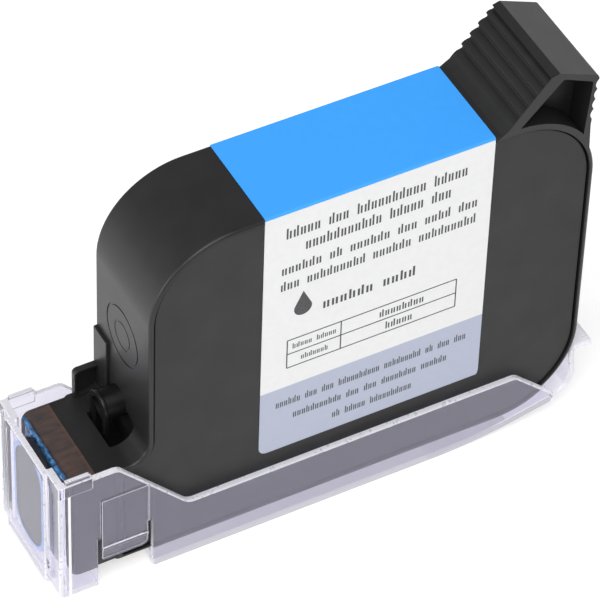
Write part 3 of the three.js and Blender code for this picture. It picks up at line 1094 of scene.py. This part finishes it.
def protective_cover():
    """The walls, tongue and panel in one, opened for the body, the snout, the seal and the two fingers."""
    shell = join(
        cut(cover_walls(), floor_pan()), tongue(), front_panel(), *rest_rails(),
        box_band(), *box_ribs(-1), *box_ribs(1), *foot_bands(),
    )
    clear = GAP + 0.05
    back = BODY_LENGTH + clear
    body_space = prism(rounded([
        (-2, REST_LEVEL), (back, REST_LEVEL, CORNER + clear), (back, ABOVE), (-2, ABOVE),
    ]), -COVER_INNER, COVER_INNER)
    snout_space = block(COVER_FRONT + END_THICK, 1, -COVER_INNER, COVER_INNER, COVER_FLOOR, ABOVE)
    soften(snout_space, 0.3)
    seal_half = PANEL_HALF - 1
    seal_space = block(PANEL_FRONT + END_THICK, PANEL_BACK, -seal_half, seal_half, -1.2, ABOVE)
    soften(seal_space, 0.3)
    contact_space = block(-1, 16.4, -COVER_INNER, COVER_INNER, COVER_FLOOR, ABOVE)
    wide = COVER_HALF + REACH
    floor_window = block(WINDOW["front"], WINDOW["back"], -wide, wide, COVER_FOOT - REACH, 2)
    cut(shell, body_space, snout_space, seal_space, contact_space, floor_window)
    around = 0.25
    for _, side in SIDES:
        layer = across(side, COVER_INNER - REACH, wide)
        wall_window = block(WINDOW["front"], WINDOW["back"], *layer, 1.4, WINDOW["top"])
        finger_window = block(
            FINGER["front"] - around, FINGER["back"] + around, *layer, 5, FINGER["root"] + around,
        )
        cut(shell, wall_window, finger_window)
    return finish_faces(shell)


settle(protective_cover(), "clear_cover", "cover", CLEAR, ["protective_cover"], crease=15)


def snap_finger(side):
    """A clip finger: a thin leaf that hangs from its root, with a catch across its lower part."""
    front, back, foot, root, catch_foot, catch_top = FINGER.values()
    wide_back = back + 0.18
    leaf = clear_soften(prism(rounded([
        (front, foot, 0.5), (back, foot, 1.2), (back, 7.7), (wide_back, 7.8), (wide_back, root, 0.2),
        (front, root, 0.2),
    ]), *across(side, COVER_INNER + 0.05, COVER_HALF - 0.1)), 0.1, 2)
    catch_layer = across(side, COVER_HALF - 0.2, COVER_HALF + 0.15)
    return join(leaf, clear_soften(block(front, back, *catch_layer, catch_foot, catch_top), 0.1, 2))


for side_name, side in SIDES:
    settle(
        snap_finger(side), f"{side_name}_clear_finger", f"{side_name}_finger", CLEAR,
        [f"{side_name}_snap_finger"],
    )


# ---- cap seal ----
def seal_outline(grow):
    """The seal's long round shape, grown by some millimetres all round."""
    half = 5.5 + grow
    foot = 0.4 - grow
    top = 22.2 + grow
    radius = 5 + grow
    return rounded([
        (-half, foot, radius), (half, foot, radius), (half, top, radius), (-half, top, radius),
    ], steps=12)


def cap_seal():
    """The dark pad and the raised ring round it, whose front face is blue."""
    pad = give(soften(prism(seal_outline(-0.2), -15.8, -14.75, "X"), 0.15, 2), SEAL)
    disc = soften(prism(seal_outline(0), -16.1, -15, "X"), 0.2)
    ring = give(cut(disc, prism(seal_outline(-0.9), -17, -14, "X")), SEAL)
    for face in ring.data.polygons:
        face.material_index = int(face.normal.x < -0.5)
    return join(pad, ring)


settle(cap_seal(), "seal_pad", "cover", [], ["cap_seal"])


# ---- nozzle tape ----
TAPE_FRONT = -14.3
TAPE_FOOT = 1.6
TAPE_LENGTH = 19
TAPE_HALF = 6.2
FLAP_HALF = 7.8


def crumple(y, z):
    """How far the tape's foil stands off, in millimetres."""
    long_wave = 0.09 * math.sin(2.1 * y + 0.7 * z)
    short_wave = 0.06 * math.sin(4.7 * y - 1.3 * z)
    return long_wave + short_wave + 0.05 * math.sin(3.1 * z + y)


def nozzle_tape():
    """A thin foil over the nozzles whose top end folds back over the snout, crumpled."""
    flat = [(TAPE_FRONT, TAPE_FOOT + step * TAPE_LENGTH / 30) for step in range(31)]
    flap = [(TAPE_FRONT + 0.17 * step, 20.9 + 0.34 * math.sin(step * math.pi / 4.5)) for step in range(1, 6)]
    columns = 60
    rows = []
    for index, (x, z) in enumerate(flat + flap):
        folded = index >= len(flat)
        half = FLAP_HALF - 0.2 * (index % 3) if folded else TAPE_HALF
        row = []
        for column in range(columns + 1):
            y = -half + 2 * half * column / columns
            wave = crumple(y, z)
            off, up = (0, 1.2 * wave + 0.08) if folded else (0.6 * wave, 0)
            row.append((x + off, y, z + up))
        rows.append(row)
    return thicken(sheet(rows), 0.06)


settle(nozzle_tape(), "nozzle_foil", "tape", [BLUE_TAPE], ["nozzle_tape"], crease=80)


# ---- the bow spring, a rigid strip here, though the real one flattens as the pressure plates close ----
STEEL = steel()
STRIP_THICK = 0.45


def bow_strip():
    """An oval band of spring steel with rounded edges, as long, wide and high as the CAD solid."""
    low, high = ((Vector(corner) - ORIGIN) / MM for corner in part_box("bow_spring"))
    centre = (low + high) / 2
    reach, half, _ = (high - low) / 2
    round_off = 0.12
    section = rounded([
        (0, low.z, round_off), (STRIP_THICK, low.z, round_off),
        (STRIP_THICK, high.z, round_off), (0, high.z, round_off),
    ])
    around = len(section)
    turns = 120
    points = []
    for turn in range(turns):
        angle = 2 * math.pi * turn / turns
        for inward, z in section:
            x = centre.x + (reach - inward) * math.cos(angle)
            points.append((x, (half - inward) * math.sin(angle), z))
    faces = []
    for turn in range(turns):
        first = turn * around
        ahead = (turn + 1) % turns * around
        for index in range(around):
            after = (index + 1) % around
            faces.append((first + index, first + after, ahead + after, ahead + index))
    return solid(points, faces)


strip = settle(bow_strip(), "bow_strip", "cartridge", [STEEL], ["bow_spring"])
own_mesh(strip)


# ---- CAD nodes that stay, with their materials ----
kept = {
    "inner_frame": natural_plastic(), "near_ink_film": ink_film(), "far_ink_film": ink_film(),
    "near_pressure_plate": STEEL, "far_pressure_plate": STEEL, "standpipe": natural_plastic(),
    "filter_screen": STEEL, "printhead_die": silicon(), "orifice_plate": GOLD, "flex_circuit": polyimide(),
    "upper_encapsulant": epoxy(), "lower_encapsulant": epoxy(), "fill_port_ball": epoxy(),
}
for node, material in kept.items():
    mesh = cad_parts[node].data
    mesh.materials.clear()
    mesh.materials.append(material)


# ---- stage, light and camera ----
def floor():
    """A white floor that glows a little, so that it stays plain under the soft lights."""
    half = 3
    corners = [(-half, -half, 0), (half, -half, 0), (half, half, 0), (-half, half, 0)]
    plane = solid(corners, [(0, 1, 2, 3)], "floor")
    plane.data.materials.append(shader(
        "floor", (0.6, 0.6, 0.6), 0.9, Specular_IOR_Level=0.1,
        Emission_Color=(1, 1, 1, 1), Emission_Strength=0.52,
    ))


def soft_light(name, place, power, size):
    """An area light that faces the object."""
    data = bpy.data.lights.new(name, "AREA")
    data.energy = power
    data.size = size
    light = bpy.data.objects.new(name, data)
    light.location = place
    light.rotation_mode = "QUATERNION"
    light.rotation_quaternion = Vector(place).to_track_quat("Z", "Y")
    bpy.context.scene.collection.objects.link(light)


def studio():
    """A low white surround and three soft lights, with enough bounces for all the clear walls."""
    bounces = 24
    world = bpy.data.worlds.new("studio")
    world.use_nodes = True
    background = world.node_tree.nodes["Background"]
    background.inputs["Color"].default_value = (1, 1, 1, 1)
    background.inputs["Strength"].default_value = 0.38
    scene = bpy.context.scene
    scene.world = world
    scene.view_settings.view_transform = "Standard"
    scene.cycles.max_bounces = bounces
    scene.cycles.transmission_bounces = bounces
    scene.cycles.transparent_max_bounces = bounces
    soft_light("key", (-0.3, -0.45, 0.9), 10.5, 0.9)
    soft_light("front_fill", (-1.0, 0.1, 0.25), 4.5, 0.5)
    soft_light("rear_low", (0.95, 0.76, 0.28), 0.55, 0.3)


def camera():
    """A long lens above the label side's front corner."""
    right = Vector((0.88189, -0.47074, 0.02608))
    back = Vector((-0.34528, -0.60720, 0.71560)).normalized()
    up = back.cross(right).normalized()
    right = up.cross(back)
    data = bpy.data.cameras.new("camera")
    data.sensor_width = 36
    data.lens = 268.37
    data.clip_start = 0.01
    view = bpy.data.objects.new("camera", data)
    turn = Matrix((right, up, back)).transposed().to_4x4()
    view.matrix_world = Matrix.Translation((-0.24821, -0.43484, 0.54966)) @ turn
    bpy.context.scene.collection.objects.link(view)
    bpy.context.scene.camera = view


floor()
studio()
camera()
